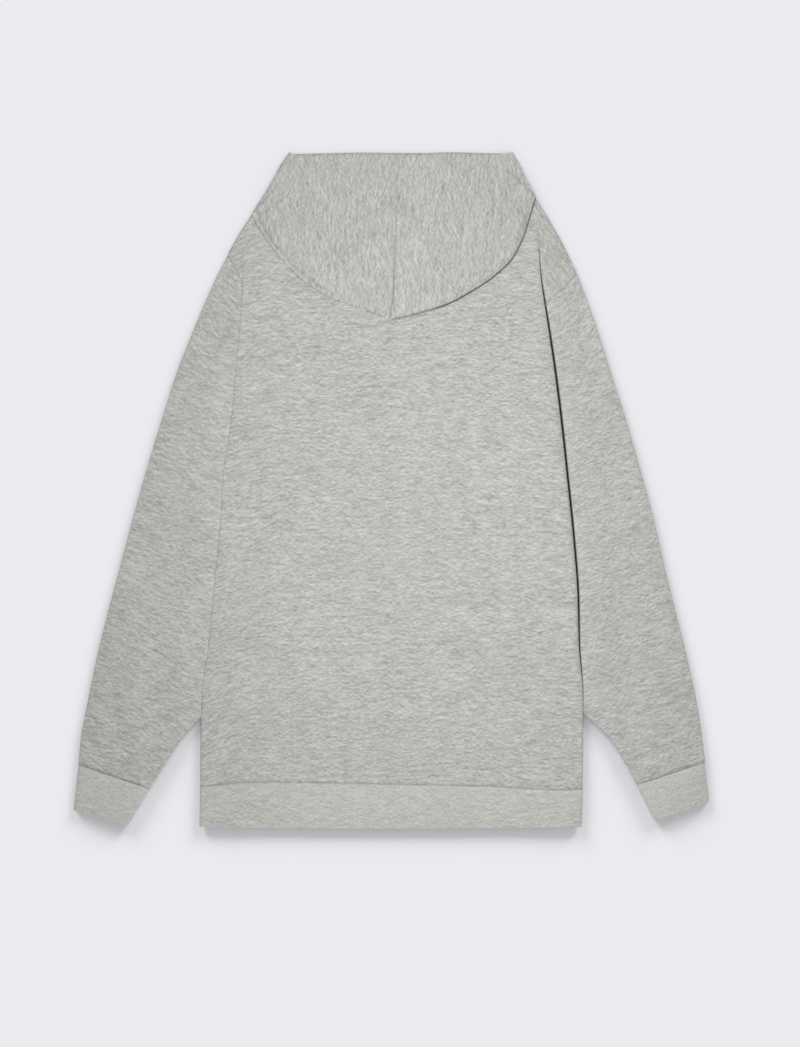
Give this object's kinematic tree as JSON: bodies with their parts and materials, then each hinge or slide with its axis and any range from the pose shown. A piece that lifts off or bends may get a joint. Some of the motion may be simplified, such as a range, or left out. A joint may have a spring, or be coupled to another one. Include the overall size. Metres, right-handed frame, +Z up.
{
  "type": "zip-up hoodie laid flat on its front",
  "caption": "Hooded zip-front sweatshirt laid flat on its front, back up, sleeves at its sides and the hood folded down over the back.",
  "frame": {"origin": "on the surface it lies on, under the middle of its bounding box", "axes": "+Z up, away from that surface; +Y from the hem towards the hood; +X towards the wearer's right sleeve"},
  "size_m": [0.6612, 0.7, 0.0142],
  "materials": {
    "fleece": "light grey melange sweatshirt fleece, matt",
    "zip_tape": "woven grey tape",
    "zip_metal": "nickel-plated, satin"
  },
  "bodies": {
    "garment": {"back": "fleece", "front_left": "fleece", "front_right": "fleece", "sleeve_left": "fleece", "sleeve_right": "fleece", "cuff_left": "fleece", "cuff_right": "fleece", "waistband": "fleece", "hood_left": "fleece", "hood_right": "fleece", "zip_tape_left": "zip_tape", "zip_tape_right": "zip_tape", "zip_chain": "zip_metal", "zip_box": "zip_metal", "zip_slider": "zip_metal"},
    "pull": {"zip_pull": "zip_metal"}
  },
  "joints": [
    {"name": "pull_swing", "type": "hinge", "parent": "garment", "child": "pull", "pos_m": [0.00538, 0.217, 0.00195], "axis": [1, 0, 0], "range_deg": [0, 170]}
  ]
}
